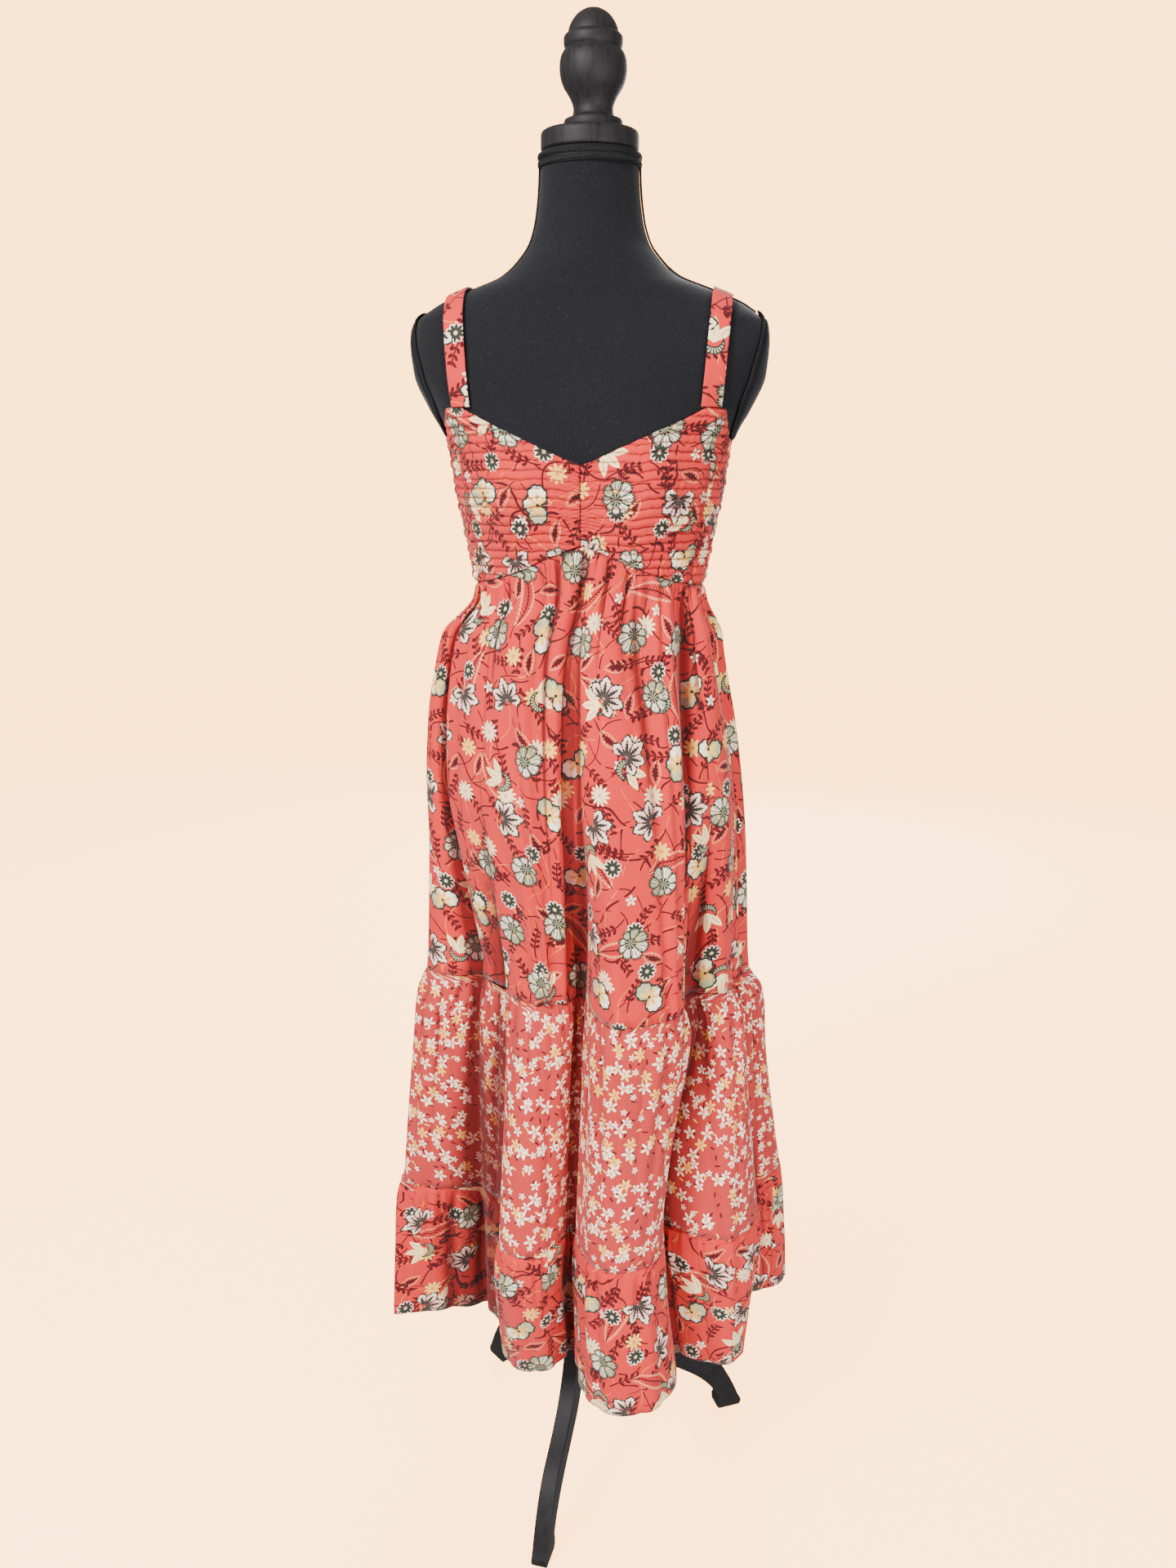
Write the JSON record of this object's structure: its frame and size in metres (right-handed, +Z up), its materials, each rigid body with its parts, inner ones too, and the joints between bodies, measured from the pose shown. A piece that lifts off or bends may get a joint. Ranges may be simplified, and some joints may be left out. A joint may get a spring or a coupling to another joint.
{
  "type": "tiered dress on dress form",
  "caption": "Strappy midi dress with a channel-stitched bodice and a fluted tiered skirt, worn by a limbless dress form on a pole with curved tripod legs.",
  "frame": {"origin": "on the floor at the pole's axis, which is the bottom centre of the whole", "axes": "+Z up; the front of the dress faces -Y; +X is to the wearer's left, the viewer's right"},
  "size_m": [0.5113, 0.4553, 1.735],
  "materials": {
    "floral_cloth": "printed viscose, soft sheen",
    "small_print_cloth": "printed viscose, soft sheen",
    "jersey": "matt knitted cover",
    "braid": "scroll braid",
    "painted_wood": "dark satin paint",
    "pole_metal": "dark satin paint"
  },
  "bodies": {
    "root": {"bodice_back": "floral_cloth", "bodice_front_left": "floral_cloth", "bodice_front_right": "floral_cloth", "bodice_side_left": "floral_cloth", "bodice_side_right": "floral_cloth", "form_arm_plate_left": "jersey", "form_arm_plate_right": "jersey", "form_finial": "painted_wood", "form_neck_braid": "braid", "form_neck_cap": "painted_wood", "form_torso": "jersey", "leg_front": "painted_wood", "leg_left": "painted_wood", "leg_right": "painted_wood", "stand_hub": "painted_wood", "stand_pole": "pole_metal", "strap_left": "floral_cloth", "strap_right": "floral_cloth", "tier_1_back": "floral_cloth", "tier_1_front": "floral_cloth", "tier_2_back": "small_print_cloth", "tier_2_front": "small_print_cloth", "tier_3_back": "floral_cloth", "tier_3_front": "floral_cloth"}
  },
  "joints": []
}
